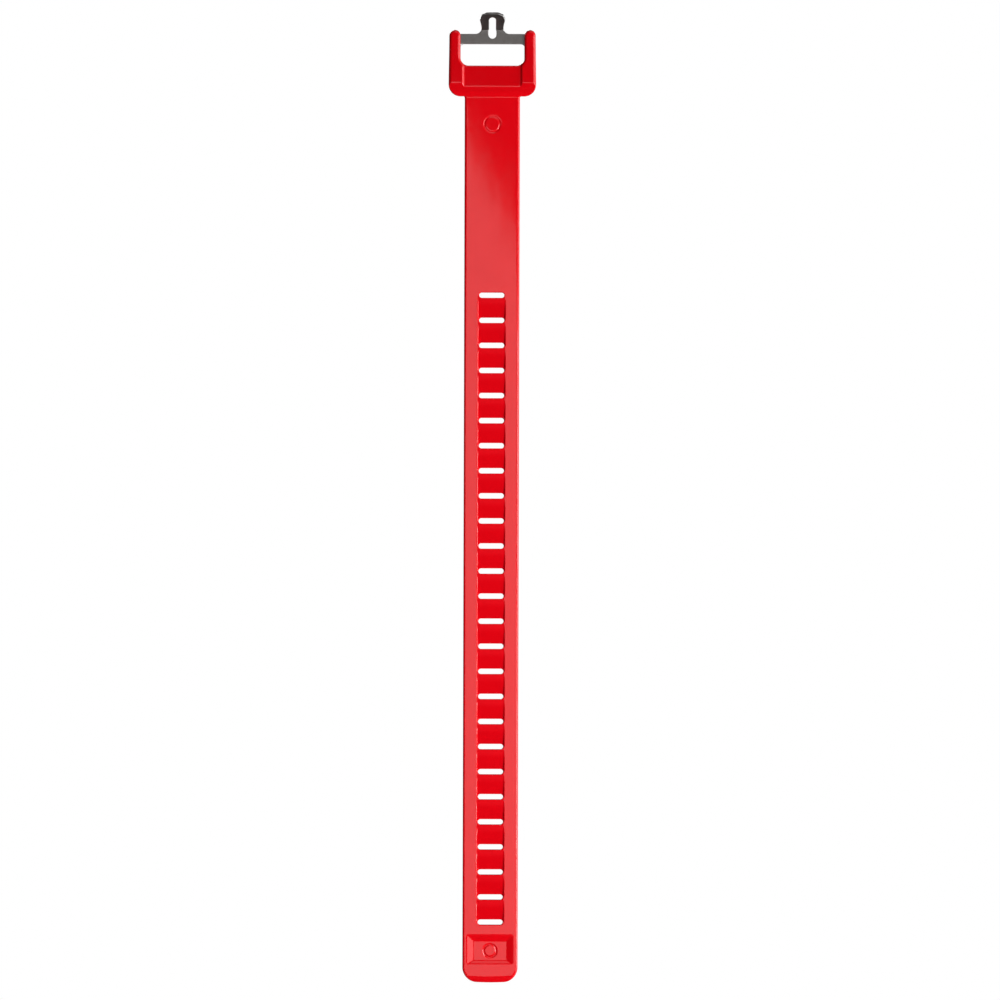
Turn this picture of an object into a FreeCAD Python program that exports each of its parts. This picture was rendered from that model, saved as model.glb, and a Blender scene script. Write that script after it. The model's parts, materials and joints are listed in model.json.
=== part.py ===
import FreeCAD, Part
import math
import os
import Sketcher

# Ski strap: one moulded elastomer band with a fork-shaped head, and a bent steel tongue plate held in it.
#
# Millimetres. The strap hangs along Z with its face towards -Y. The origin is the middle of the tongue
# plate's lower edge, which is the edge that the strap's own tail is pulled over, and that a hook holds it by.
# The band is one flexible moulding. It is cut here into short lengths that meet at hinge lines across the
# band, half way through its thickness, so that the strap can bend.

DRIVING_SIZES = {
    # the band
    "band_width": 28.9,
    "band_thickness": 2.8,
    "band_edge_radius": 1.0,
    "neck_length": 8.0,
    # the fork-shaped head
    "head_depth": 6.3,
    "head_edge_radius": 1.2,
    "head_corner_radius": 6.2,
    "arm_width": 6.2,
    "arm_rise": 7.2,
    "arm_tip_radius": 3.0,
    "window_height": 11.4,
    "window_side_room": 2.25,
    "window_corner_radius": 4.2,
    "bar_height": 9.2,
    "bar_recess": 1.0,
    "slope_height": 6.6,
    # the steel tongue plate
    "plate_thickness": 1.5,
    "plate_height": 5.3,
    "wing_depth": 4.2,
    "key_radius": 1.1,
    "gusset_size": 2.6,
    "tongue_rise": 1.5,
    "tongue_head_width": 12.7,
    "tongue_neck_step": 0.6,
    "tongue_tip_slope": 3.2,
    "tongue_shoulder": 3.3,
    "tongue_catch": 2.8,
    "tongue_bend": 40.0,
    "tongue_bend_radius": 1.0,
    "tongue_leg": 9.8,
    "tongue_slot_width": 3.9,
    "tongue_slot_foot": 2.8,
    "tongue_slot_margin": 2.5,
    # the row of slots
    "first_slot_drop": 131.3,
    "slot_pitch": 13.13,
    "slot_side_room": 0.225,
    "slot_face_room": 0.65,
    "rung_recess_border": 0.475,
    "rung_recess_depth": 0.9,
    # the thumb pad and the tail's end
    "tail_cut_drop": 4.4,
    "tail_length": 27.15,
    "tail_corner_radius": 7.8,
    "pad_border": 2.05,
    "pad_height": 15.7,
    "pad_drop": 2.0,
    "pad_depth": 1.0,
    "pad_wall": 3.5,
    # the plain ring marks
    "mark_radius": 4.5,
    "mark_line": 0.8,
    "mark_depth": 0.3,
    "mark_drop": 6.6,
    # the hinge lines
    "hinge_gap": 0.3,
    "hinge_relief": 15.0,
}
PLAIN_LENGTHS = 7
SLOTTED_LENGTHS = 26
SLOTS_EACH = 1

doc = FreeCAD.newDocument("ski_strap")
sheet = doc.addObject("Spreadsheet::Sheet", "Sizes")


class Size:
    """A size as a number, with the spreadsheet expression that gives it."""

    def __init__(self, value, text):
        self.value = value
        self.text = text

    def join(self, sign, other, value):
        """This size and another as one expression."""
        return Size(value, f"({self.text} {sign} {as_size(other).text})")

    def __add__(self, other):
        return self.join("+", other, self.value + as_size(other).value)

    def __sub__(self, other):
        return self.join("-", other, self.value - as_size(other).value)

    def __mul__(self, other):
        return self.join("*", other, self.value * as_size(other).value)

    def __truediv__(self, other):
        return self.join("/", other, self.value / as_size(other).value)

    def __neg__(self):
        return Size(-self.value, f"(0 - {self.text})")


def as_size(number):
    """A plain number as a Size; a Size stays as it is."""
    return number if isinstance(number, Size) else Size(float(number), repr(float(number)))


def trig(name, angle):
    """The sine, cosine or tangent of an angle in degrees."""
    return Size(getattr(math, name)(math.radians(angle.value)), f"{name}({angle.text})")


def fill_sheet():
    """Puts each driving size in its own cell, with its name as the cell's alias."""
    sizes = {}
    for row, (name, value) in enumerate(DRIVING_SIZES.items(), 1):
        sheet.set(f"A{row}", name)
        sheet.set(f"B{row}", str(value))
        sheet.setAlias(f"B{row}", name)
        sizes[name] = Size(value, f"Sizes.{name}")
    doc.recompute()
    return sizes


def bind(thing, field, size):
    """Ties one property of an object to the sheet."""
    thing.setExpression(field, as_size(size).text)


def new_body(name, x=0, y=0, z=0):
    """An empty body with its own label and placement."""
    body = doc.addObject("PartDesign::Body", name)
    body.Label = name
    for axis, size in (("x", x), ("y", y), ("z", z)):
        bind(body, f"Placement.Base.{axis}", size)
    return body


def new_sketch(body, name, plane, out=0):
    """A sketch on one of the body's origin planes, moved out along that plane's normal."""
    sketch = body.newObject("Sketcher::SketchObject", f"{body.Name}_{name}")
    support = next(f for f in body.Origin.OriginFeatures if f.Role == plane)
    sketch.AttachmentSupport = (support, [""])
    sketch.MapMode = "FlatFace"
    bind(sketch, "AttachmentOffset.Base.z", out)
    return sketch


def place_point(sketch, line, end, across, up):
    """Fixes one point of a sketch at a distance from the sketch's origin, both ways."""
    for kind, size in (("DistanceX", across), ("DistanceY", up)):
        index = sketch.addConstraint(Sketcher.Constraint(kind, line, end, as_size(size).value))
        sketch.renameConstraint(index, f"{kind}_{line}_{end}")
        bind(sketch, f"Constraints.{kind}_{line}_{end}", size)


def add_outline(sketch, corners):
    """A closed outline of straight lines through the corners."""
    first = sketch.GeometryCount
    points = [FreeCAD.Vector(as_size(a).value, as_size(b).value, 0) for a, b in corners]
    for start, end in zip(points, points[1:] + points[:1]):
        sketch.addGeometry(Part.LineSegment(start, end), False)
    for n, (across, up) in enumerate(corners):
        following = first + (n + 1) % len(corners)
        sketch.addConstraint(Sketcher.Constraint("Coincident", first + n, 2, following, 1))
        place_point(sketch, first + n, 1, across, up)


def add_rectangle(sketch, left, right, low, high):
    """An upright rectangle."""
    add_outline(sketch, [(left, low), (right, low), (right, high), (left, high)])


def fix_radius(sketch, index, radius):
    """Ties the radius of a circle or an arc to the sheet."""
    row = sketch.addConstraint(Sketcher.Constraint("Radius", index, radius.value))
    sketch.renameConstraint(row, f"radius_{index}")
    bind(sketch, f"Constraints.radius_{index}", radius)


def add_circle(sketch, across, up, radius):
    """A circle whose centre and radius are tied to the sheet."""
    centre = FreeCAD.Vector(as_size(across).value, as_size(up).value, 0)
    index = sketch.addGeometry(Part.Circle(centre, FreeCAD.Vector(0, 0, 1), radius.value), False)
    place_point(sketch, index, 3, across, up)
    fix_radius(sketch, index, radius)


def add_rounded_rectangle(sketch, width, centre_up, height, radius):
    """A rectangle with round corners, centred across the sketch."""
    first = sketch.GeometryCount
    turn = FreeCAD.Vector(0, 0, 1)
    reach = width / 2 - radius
    rise = height / 2 - radius
    quarters = ((1, 1, 0), (-1, 1, 90), (-1, -1, 180), (1, -1, 270))
    for side, level, start in quarters:
        centre = FreeCAD.Vector(side * reach.value, (centre_up + rise * level).value, 0)
        circle = Part.Circle(centre, turn, radius.value)
        arc = Part.ArcOfCircle(circle, math.radians(start), math.radians(start + 90))
        sketch.addGeometry(arc, False)
    for n in range(4):
        start = sketch.Geometry[first + n].EndPoint
        end = sketch.Geometry[first + (n + 1) % 4].StartPoint
        line = sketch.addGeometry(Part.LineSegment(start, end), False)
        following = first + (n + 1) % 4
        sketch.addConstraint(Sketcher.Constraint("Tangent", first + n, 2, line, 1))
        sketch.addConstraint(Sketcher.Constraint("Tangent", line, 2, following, 1))
        place_point(sketch, first + n, 3, reach * quarters[n][0], centre_up + rise * quarters[n][1])
    fix_radius(sketch, first, radius)


def add_slot(sketch, centre_up, length, radius, upright=False):
    """A slot with round ends, centred across the sketch, which lies level unless it is upright."""
    first = sketch.GeometryCount
    turn = FreeCAD.Vector(0, 0, 1)
    reach = length / 2 - radius
    base = 90 if upright else 0
    along = (0, 1) if upright else (1, 0)
    centres = {}
    for side in (1, -1):
        centres[side] = (reach * (along[0] * side), as_size(centre_up) + reach * (along[1] * side))
        start = base - 90 * side
        centre = FreeCAD.Vector(centres[side][0].value, centres[side][1].value, 0)
        circle = Part.Circle(centre, turn, radius.value)
        sketch.addGeometry(Part.ArcOfCircle(circle, math.radians(start), math.radians(start + 180)), False)
    far, near = first, first + 1
    for arc, following in ((far, near), (near, far)):
        start = sketch.Geometry[arc].EndPoint
        end = sketch.Geometry[following].StartPoint
        line = sketch.addGeometry(Part.LineSegment(start, end), False)
        sketch.addConstraint(Sketcher.Constraint("Tangent", arc, 2, line, 1))
        sketch.addConstraint(Sketcher.Constraint("Tangent", line, 2, following, 1))
    place_point(sketch, far, 3, *centres[1])
    place_point(sketch, near, 3, *centres[-1])
    fix_radius(sketch, far, radius)


def extrude(body, kind, name, sketch, length, symmetric=True):
    """A Pad or a Pocket of a sketch, tied to the sheet."""
    feature = body.newObject(f"PartDesign::{kind}", f"{body.Name}_{name}")
    feature.Profile = sketch
    feature.SideType = "Symmetric" if symmetric else "One side"
    feature.Type = "Length"
    bind(feature, "Length", length)
    body.Tip = feature
    return feature


def straight_edges(feature, axis, wanted):
    """The names of a feature's straight edges along one axis whose middle point is wanted."""
    doc.recompute()
    names = []
    for number, edge in enumerate(feature.Shape.Edges, 1):
        ends = [v.Point for v in edge.Vertexes]
        if len(ends) < 2 or not isinstance(edge.Curve, Part.Line):
            continue
        run = [abs(a - b) for a, b in zip(*ends)]
        if run[axis] > sum(run) * 0.999 and wanted((ends[0] + ends[1]) / 2):
            names.append(f"Edge{number}")
    return names


def face_edges(feature, depth, wanted):
    """The names of a feature's edges that lie wholly at one depth, in front of or behind its middle."""
    doc.recompute()
    names = []
    for number, edge in enumerate(feature.Shape.Edges, 1):
        box = edge.BoundBox
        level = abs(abs(box.YMin) - depth.value) < 1e-4 and box.YLength < 1e-4
        if level and wanted(box.Center):
            names.append(f"Edge{number}")
    return names


def fillet(body, name, feature, edges, radius):
    """A fillet along the named edges of a feature."""
    rounded = body.newObject("PartDesign::Fillet", f"{body.Name}_{name}")
    rounded.Base = (feature, edges)
    bind(rounded, "Radius", radius)
    body.Tip = rounded
    return rounded


def ring_mark(body, centre_up, face_out):
    """A plain ring sunk into the face at the given height, where face_out is the face's distance forward."""
    sketch = new_sketch(body, "mark", "XZ_Plane", face_out)
    add_circle(sketch, 0, centre_up, MARK_RADIUS)
    add_circle(sketch, 0, centre_up, MARK_RADIUS - MARK_LINE)
    return extrude(body, "Pocket", "mark_pocket", sketch, MARK_DEPTH, symmetric=False)


def hinge_relief(body, name, end, up, middle=0):
    """Cuts the band's end back on both faces, so that two lengths can bend towards either face.

    end is the height of the band's end in the body, up is 1 for an upper end and -1 for a lower one, and
    middle is how far back the middle of the band's thickness lies in the body.
    """
    sketch = new_sketch(body, name, "YZ_Plane")
    half = BAND_THICKNESS / 2
    fall = (half + CLEAR) * trig("tan", HINGE_RELIEF) * up
    past = end + CLEAR * up
    for face in (1, -1):
        outer = (half + CLEAR) * face + middle
        add_outline(sketch, [(middle, end), (outer, end - fall), (outer, past), (middle, past)])
    return extrude(body, "Pocket", f"{name}_pocket", sketch, BAND_WIDTH + CLEAR * 2)


def band_length(name, low, high, gap_below=True):
    """One length of the band from height low to height high, less half a hinge gap at each hinge line."""
    low_end = low + HINGE_GAP / 2 if gap_below else low
    high_end = high - HINGE_GAP / 2
    body = new_body(name, y=BAND_MIDDLE, z=low_end)
    span = high_end - low_end
    sketch = new_sketch(body, "face", "XZ_Plane")
    add_rectangle(sketch, -BAND_WIDTH / 2, BAND_WIDTH / 2, 0, span)
    blank = extrude(body, "Pad", "blank", sketch, BAND_THICKNESS)
    return body, blank, span


def soften_long_edges(body, blank):
    """Rounds the four long edges of a length of band."""
    edges = straight_edges(blank, 2, lambda middle: True)
    return fillet(body, "edges", blank, edges, BAND_EDGE_RADIUS)


def cut_slots(body, low_end, slots, rungs):
    """Cuts the slots whose heights are in slots, and the sunk ramps that rise from each height in rungs.

    A ramp is level with the face where it starts under one slot and deepest where it meets the next.
    """
    half = BAND_THICKNESS / 2
    sketch = new_sketch(body, "slots", "XZ_Plane")
    for height in slots:
        add_slot(sketch, height - low_end, SLOT_WIDTH, SLOT_HEIGHT / 2)
    extrude(body, "Pocket", "slot_pocket", sketch, BAND_THICKNESS + CLEAR * 2)
    ramps = new_sketch(body, "rungs", "YZ_Plane")
    rung = SLOT_PITCH - SLOT_HEIGHT
    for height in rungs:
        slot = height - low_end
        foot = slot + SLOT_HEIGHT / 2
        deepest = RUNG_RECESS_DEPTH - half
        top = foot + rung
        ahead = -half - CLEAR
        add_outline(ramps, [(ahead, slot), (deepest, slot), (deepest, foot), (-half, top), (ahead, top)])
    return extrude(body, "Pocket", "rung_pocket", ramps, RUNG_RECESS_WIDTH)


def make_fork_head():
    """The moulded head: two arms, the bar below the window, and the first short stretch of band."""
    body = new_body("fork_head")
    half_width = HEAD_WIDTH / 2
    half_depth = HEAD_DEPTH / 2
    sketch = new_sketch(body, "block", "XZ_Plane")
    add_rectangle(sketch, -half_width, half_width, HEAD_FOOT, ARM_RISE)
    block = extrude(body, "Pad", "block_pad", sketch, HEAD_DEPTH)
    window = new_sketch(body, "window", "XZ_Plane")
    add_rectangle(window, -WINDOW_WIDTH / 2, WINDOW_WIDTH / 2, -WINDOW_HEIGHT, ARM_RISE + CLEAR)
    fork = extrude(body, "Pocket", "window_pocket", window, HEAD_DEPTH + CLEAR * 2)
    tips = straight_edges(fork, 1, lambda middle: middle.z > ARM_RISE.value - 0.01)
    rounded = fillet(body, "arm_tips", fork, tips, ARM_TIP_RADIUS)
    heel = straight_edges(rounded, 1, lambda middle: middle.z < HEAD_FOOT.value + 0.01)
    rounded = fillet(body, "heel_corners", rounded, heel, HEAD_CORNER_RADIUS)
    inner = straight_edges(rounded, 1, lambda middle: abs(middle.z + WINDOW_HEIGHT.value) < 0.01)
    rounded = fillet(body, "window_corners", rounded, inner, WINDOW_CORNER_RADIUS)
    rims = face_edges(rounded, half_depth, lambda middle: True)
    fillet(body, "rims", rounded, rims, HEAD_EDGE_RADIUS)

    neck_low = NECK_END + HINGE_GAP / 2
    neck = new_sketch(body, "neck", "XY_Plane", neck_low)
    add_rounded_rectangle(neck, BAND_WIDTH, BAND_MIDDLE, BAND_THICKNESS, BAND_EDGE_RADIUS)
    buried = BAND_WIDTH / 4  # how far the neck runs up inside the bar
    extrude(body, "Pad", "neck_pad", neck, HEAD_FOOT - neck_low + buried, symmetric=False)

    band_front = BAND_MIDDLE - BAND_THICKNESS / 2
    shoulder = HEAD_FOOT + SLOPE_HEIGHT
    slope = new_sketch(body, "slope", "YZ_Plane")
    ahead = -half_depth - CLEAR
    run = half_depth + band_front
    over = SLOPE_HEIGHT * CLEAR / run
    add_outline(slope, [(band_front, HEAD_FOOT), (ahead, shoulder + over), (ahead, HEAD_FOOT)])
    extrude(body, "Pocket", "slope_pocket", slope, HEAD_WIDTH + CLEAR * 2)
    bar = new_sketch(body, "bar", "YZ_Plane")
    sunk = BAR_RECESS - half_depth
    bar_foot = shoulder - SLOPE_HEIGHT * BAR_RECESS / run
    bar_top = CLEAR - WINDOW_HEIGHT
    add_outline(bar, [(ahead, bar_foot), (sunk, bar_foot), (sunk, bar_top), (ahead, bar_top)])
    extrude(body, "Pocket", "bar_pocket", bar, WINDOW_WIDTH)

    wings = new_sketch(body, "wings", "XZ_Plane")
    add_rectangle(wings, -WING_REACH, WING_REACH, 0, PLATE_HEIGHT)
    extrude(body, "Pocket", "wing_pocket", wings, PLATE_THICKNESS)
    keys = new_sketch(body, "keys", "XZ_Plane")
    for side in (1, -1):
        add_circle(keys, KEY_CENTRE * side, PLATE_HEIGHT / 2, KEY_RADIUS)
    extrude(body, "Pad", "key_pad", keys, PLATE_THICKNESS + HEAD_EDGE_RADIUS)
    hinge_relief(body, "neck_relief", neck_low, -1, BAND_MIDDLE)
    return body


def make_tongue_plate():
    """The stamped steel plate: a bar with a wing in each arm, and a slotted tongue bent towards the face."""
    body = new_body("tongue_plate")
    bend_foot = PLATE_HEIGHT + TONGUE_RISE
    half_head = TONGUE_HEAD_WIDTH / 2
    root = TONGUE_NECK_WIDTH / 2 + GUSSET_SIZE
    sketch = new_sketch(body, "bar", "XZ_Plane")
    add_outline(
        sketch,
        [
            (-WING_REACH, 0),
            (WING_REACH, 0),
            (WING_REACH, PLATE_HEIGHT),
            (root, PLATE_HEIGHT),
            (half_head, bend_foot),
            (-half_head, bend_foot),
            (-root, PLATE_HEIGHT),
            (-WING_REACH, PLATE_HEIGHT),
        ],
    )
    extrude(body, "Pad", "bar_pad", sketch, PLATE_THICKNESS)

    axis_depth = PLATE_THICKNESS / 2 + TONGUE_BEND_RADIUS
    bend = new_sketch(body, "bend", "XY_Plane", bend_foot)
    bind(bend, "AttachmentOffset.Base.y", -axis_depth)
    outer = TONGUE_BEND_RADIUS + PLATE_THICKNESS
    add_rectangle(bend, -half_head, half_head, TONGUE_BEND_RADIUS, outer)
    curve = body.newObject("PartDesign::Revolution", "tongue_plate_bend_turn")
    curve.Profile = bend
    curve.ReferenceAxis = (bend, ["H_Axis"])
    bind(curve, "Angle", TONGUE_BEND)
    body.Tip = curve

    leg = new_sketch(body, "leg", "XY_Plane", bend_foot)
    tilt = FreeCAD.Rotation(FreeCAD.Vector(1, 0, 0), TONGUE_BEND.value)
    leg.AttachmentOffset = FreeCAD.Placement(FreeCAD.Vector(), tilt)
    bind(leg, "AttachmentOffset.Base.y", -axis_depth)
    bind(leg, "AttachmentOffset.Base.z", bend_foot)
    bind(leg, "AttachmentOffset.Rotation.Angle", TONGUE_BEND)
    add_rectangle(leg, -half_head, half_head, TONGUE_BEND_RADIUS, outer)
    extrude(body, "Pad", "leg_pad", leg, TONGUE_LEG, symmetric=False)

    # seen from the front, the tongue is narrower at its neck and has sloping shoulders at its tip
    top = bend_foot + outer * trig("sin", TONGUE_BEND) + TONGUE_LEG * trig("cos", TONGUE_BEND)
    through = (TONGUE_LEG + PLATE_THICKNESS) * 2 + CLEAR * 2
    trim = new_sketch(body, "trim", "XZ_Plane")
    half_neck = TONGUE_NECK_WIDTH / 2
    half_tip = TONGUE_TIP_WIDTH / 2
    shoulder = top - TONGUE_SHOULDER
    catch = shoulder - TONGUE_CATCH
    past = half_head + CLEAR
    above = top + CLEAR
    lead = bend_foot + TONGUE_NECK_STEP
    tip_corners = [(half_tip, top), (half_head, shoulder), (past, shoulder), (past, above), (half_tip, above)]
    neck_corners = [(half_neck, catch), (half_head, shoulder), (past, shoulder), (past, bend_foot)]
    neck_corners += [(half_head, bend_foot), (half_neck, lead)]
    for side in (1, -1):
        for corners in (tip_corners, neck_corners):
            add_outline(trim, [(across * side, up) for across, up in corners])
    extrude(body, "Pocket", "trim_pocket", trim, through)

    slot = new_sketch(body, "slot", "XZ_Plane")
    slot_top = top - TONGUE_SLOT_MARGIN
    slot_middle = (slot_top + TONGUE_SLOT_FOOT) / 2
    add_slot(slot, slot_middle, slot_top - TONGUE_SLOT_FOOT, TONGUE_SLOT_WIDTH / 2, upright=True)
    extrude(body, "Pocket", "slot_pocket", slot, through)
    keys = new_sketch(body, "keys", "XZ_Plane")
    for side in (1, -1):
        add_circle(keys, KEY_CENTRE * side, PLATE_HEIGHT / 2, KEY_RADIUS)
    extrude(body, "Pocket", "key_pocket", keys, PLATE_THICKNESS + CLEAR)
    return body


def make_plain_lengths():
    """The unslotted band between the neck and the first slots. The first length carries a ring mark."""
    bodies = []
    span = (NECK_END - SLOTS_START) / PLAIN_LENGTHS
    for n in range(PLAIN_LENGTHS):
        high = NECK_END - span * n
        body, blank, height = band_length(f"plain_length_{n + 1}", high - span, high)
        soften_long_edges(body, blank)
        if n == 0:
            ring_mark(body, height - MARK_DROP, BAND_THICKNESS / 2)
        hinge_relief(body, "low_relief", as_size(0), -1)
        hinge_relief(body, "high_relief", height, 1)
        bodies.append(body)
    return bodies


def make_slotted_lengths():
    """The slotted band, cut in the middle of its rungs."""
    bodies = []
    last_slot = FIRST_SLOT - SLOT_PITCH * (SLOTTED_LENGTHS * SLOTS_EACH - 1)
    for n in range(SLOTTED_LENGTHS):
        high = SLOTS_START - SLOT_PITCH * (SLOTS_EACH * n)
        final = n == SLOTTED_LENGTHS - 1
        low = last_slot - TAIL_CUT_DROP if final else high - SLOT_PITCH * SLOTS_EACH
        body, blank, height = band_length(f"slotted_length_{n + 1}", low, high)
        soften_long_edges(body, blank)
        slots = [high - SLOT_PITCH * (k + 0.5) for k in range(SLOTS_EACH)]
        rungs = slots[1:] if n == 0 else slots
        if not final:
            rungs = rungs + [slots[-1] - SLOT_PITCH]
        cut_slots(body, low + HINGE_GAP / 2, slots, rungs)
        hinge_relief(body, "low_relief", as_size(0), -1)
        hinge_relief(body, "high_relief", height, 1)
        bodies.append(body)
    return bodies


def make_tail_length():
    """The last length of band, with the sunk thumb pad and rounded corners."""
    last_slot = FIRST_SLOT - SLOT_PITCH * (SLOTTED_LENGTHS * SLOTS_EACH - 1)
    high = last_slot - TAIL_CUT_DROP
    body, blank, height = band_length("tail_length", high - TAIL_LENGTH, high, gap_below=False)
    corners = straight_edges(blank, 1, lambda middle: middle.z < 0.01)
    rounded = fillet(body, "end_corners", blank, corners, TAIL_CORNER_RADIUS)
    rims = face_edges(rounded, BAND_THICKNESS / 2, lambda middle: middle.z < height.value - 0.01)
    fillet(body, "edges", rounded, rims, BAND_EDGE_RADIUS)
    pad_top = height + HINGE_GAP / 2 - PAD_DROP
    mouth = new_sketch(body, "pad_mouth", "XZ_Plane", BAND_THICKNESS / 2)
    add_rectangle(mouth, -PAD_WIDTH / 2, PAD_WIDTH / 2, pad_top - PAD_HEIGHT, pad_top)
    floor = new_sketch(body, "pad_floor", "XZ_Plane", BAND_THICKNESS / 2 - PAD_DEPTH)
    across = PAD_WIDTH / 2 - PAD_WALL
    add_rectangle(floor, -across, across, pad_top - PAD_HEIGHT + PAD_WALL, pad_top - PAD_WALL)
    recess = body.newObject("PartDesign::SubtractiveLoft", "tail_length_pad_recess")
    recess.Profile = mouth
    recess.Sections = [floor]
    recess.Ruled = True
    body.Tip = recess
    hinge_relief(body, "high_relief", height, 1)
    return body


def check_document(bodies):
    """Stops if any object failed to compute, or any piece isn't one valid closed solid."""
    for thing in doc.Objects:
        if "Invalid" in thing.State or "Error" in thing.State:
            raise RuntimeError(f"{thing.Label} did not compute: {thing.State}")
    for body in bodies:
        shape = body.Shape
        if shape.isNull() or not shape.isValid() or len(shape.Solids) != 1:
            raise RuntimeError(f"{body.Label} isn't one valid solid")


SIZE = fill_sheet()
CLEAR = as_size(1.0)  # how far a cutting profile runs past the face that it starts from
BAND_WIDTH = SIZE["band_width"]
BAND_THICKNESS = SIZE["band_thickness"]
BAND_EDGE_RADIUS = SIZE["band_edge_radius"]
ARM_WIDTH = SIZE["arm_width"]
WINDOW_WIDTH = BAND_WIDTH + SIZE["window_side_room"] * 2  # a tail passes through the window
HEAD_WIDTH = WINDOW_WIDTH + ARM_WIDTH * 2
HEAD_DEPTH = SIZE["head_depth"]
HEAD_EDGE_RADIUS = SIZE["head_edge_radius"]
HEAD_CORNER_RADIUS = SIZE["head_corner_radius"]
ARM_RISE = SIZE["arm_rise"]
ARM_TIP_RADIUS = SIZE["arm_tip_radius"]
WINDOW_HEIGHT = SIZE["window_height"]
WINDOW_CORNER_RADIUS = SIZE["window_corner_radius"]
BAR_RECESS = SIZE["bar_recess"]
SLOPE_HEIGHT = SIZE["slope_height"]
HEAD_FOOT = -(WINDOW_HEIGHT + SIZE["bar_height"] + SLOPE_HEIGHT)
NECK_END = HEAD_FOOT - SIZE["neck_length"]
BAND_MIDDLE = (HEAD_DEPTH - BAND_THICKNESS) / 2  # the band's back is level with the head's
PLATE_THICKNESS = SIZE["plate_thickness"]
PLATE_HEIGHT = SIZE["plate_height"]
WING_REACH = WINDOW_WIDTH / 2 + SIZE["wing_depth"]
KEY_RADIUS = SIZE["key_radius"]
KEY_CENTRE = WING_REACH - SIZE["wing_depth"] / 2
GUSSET_SIZE = SIZE["gusset_size"]
TONGUE_RISE = SIZE["tongue_rise"]
TONGUE_HEAD_WIDTH = SIZE["tongue_head_width"]
TONGUE_NECK_STEP = SIZE["tongue_neck_step"]
TONGUE_NECK_WIDTH = TONGUE_HEAD_WIDTH - TONGUE_NECK_STEP * 2
TONGUE_TIP_WIDTH = TONGUE_HEAD_WIDTH - SIZE["tongue_tip_slope"] * 2
TONGUE_SHOULDER = SIZE["tongue_shoulder"]
TONGUE_CATCH = SIZE["tongue_catch"]
TONGUE_BEND = SIZE["tongue_bend"]
TONGUE_BEND_RADIUS = SIZE["tongue_bend_radius"]
TONGUE_LEG = SIZE["tongue_leg"]
TONGUE_SLOT_WIDTH = SIZE["tongue_slot_width"]
TONGUE_SLOT_FOOT = SIZE["tongue_slot_foot"]
TONGUE_SLOT_MARGIN = SIZE["tongue_slot_margin"]
SLOT_PITCH = SIZE["slot_pitch"]
SLOT_WIDTH = TONGUE_HEAD_WIDTH + SIZE["slot_side_room"] * 2  # a tongue passes through a slot
SLOT_HEIGHT = PLATE_THICKNESS + SIZE["slot_face_room"] * 2
RUNG_RECESS_WIDTH = SLOT_WIDTH + SIZE["rung_recess_border"] * 2
RUNG_RECESS_DEPTH = SIZE["rung_recess_depth"]
FIRST_SLOT = -SIZE["first_slot_drop"]
SLOTS_START = FIRST_SLOT + SLOT_PITCH / 2
TAIL_CUT_DROP = SIZE["tail_cut_drop"]
TAIL_LENGTH = SIZE["tail_length"]
TAIL_CORNER_RADIUS = SIZE["tail_corner_radius"]
PAD_WIDTH = BAND_WIDTH - SIZE["pad_border"] * 2
PAD_HEIGHT = SIZE["pad_height"]
PAD_DROP = SIZE["pad_drop"]
PAD_DEPTH = SIZE["pad_depth"]
PAD_WALL = SIZE["pad_wall"]
MARK_RADIUS = SIZE["mark_radius"]
MARK_LINE = SIZE["mark_line"]
MARK_DEPTH = SIZE["mark_depth"]
MARK_DROP = SIZE["mark_drop"]
HINGE_GAP = SIZE["hinge_gap"]
HINGE_RELIEF = SIZE["hinge_relief"]

nodes = [make_fork_head(), make_tongue_plate()]
nodes += make_plain_lengths()
nodes += make_slotted_lengths()
nodes.append(make_tail_length())
doc.recompute()
check_document(nodes)
os.makedirs("parts", exist_ok=True)
for node in nodes:
    node.Shape.exportStep(f"parts/{node.Label}.step")
    print(node.Label, round(node.Shape.Volume, 2), node.Shape.BoundBox)
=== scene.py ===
"""The looks of the ski strap: its elastomer moulding, its steel tongue plate, the studio and the camera.

The moulding is described as one distance field: a function that says how far a point lies outside the
elastomer. It is meshed in thirty-four pieces that meet in the middle of the band's hinged lengths.
Lengths are in millimetres until a mesh is written, which is in metres.
"""
import json
import logging
import math
from dataclasses import dataclass, field
from enum import Enum
from typing import Callable, Sequence

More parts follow.
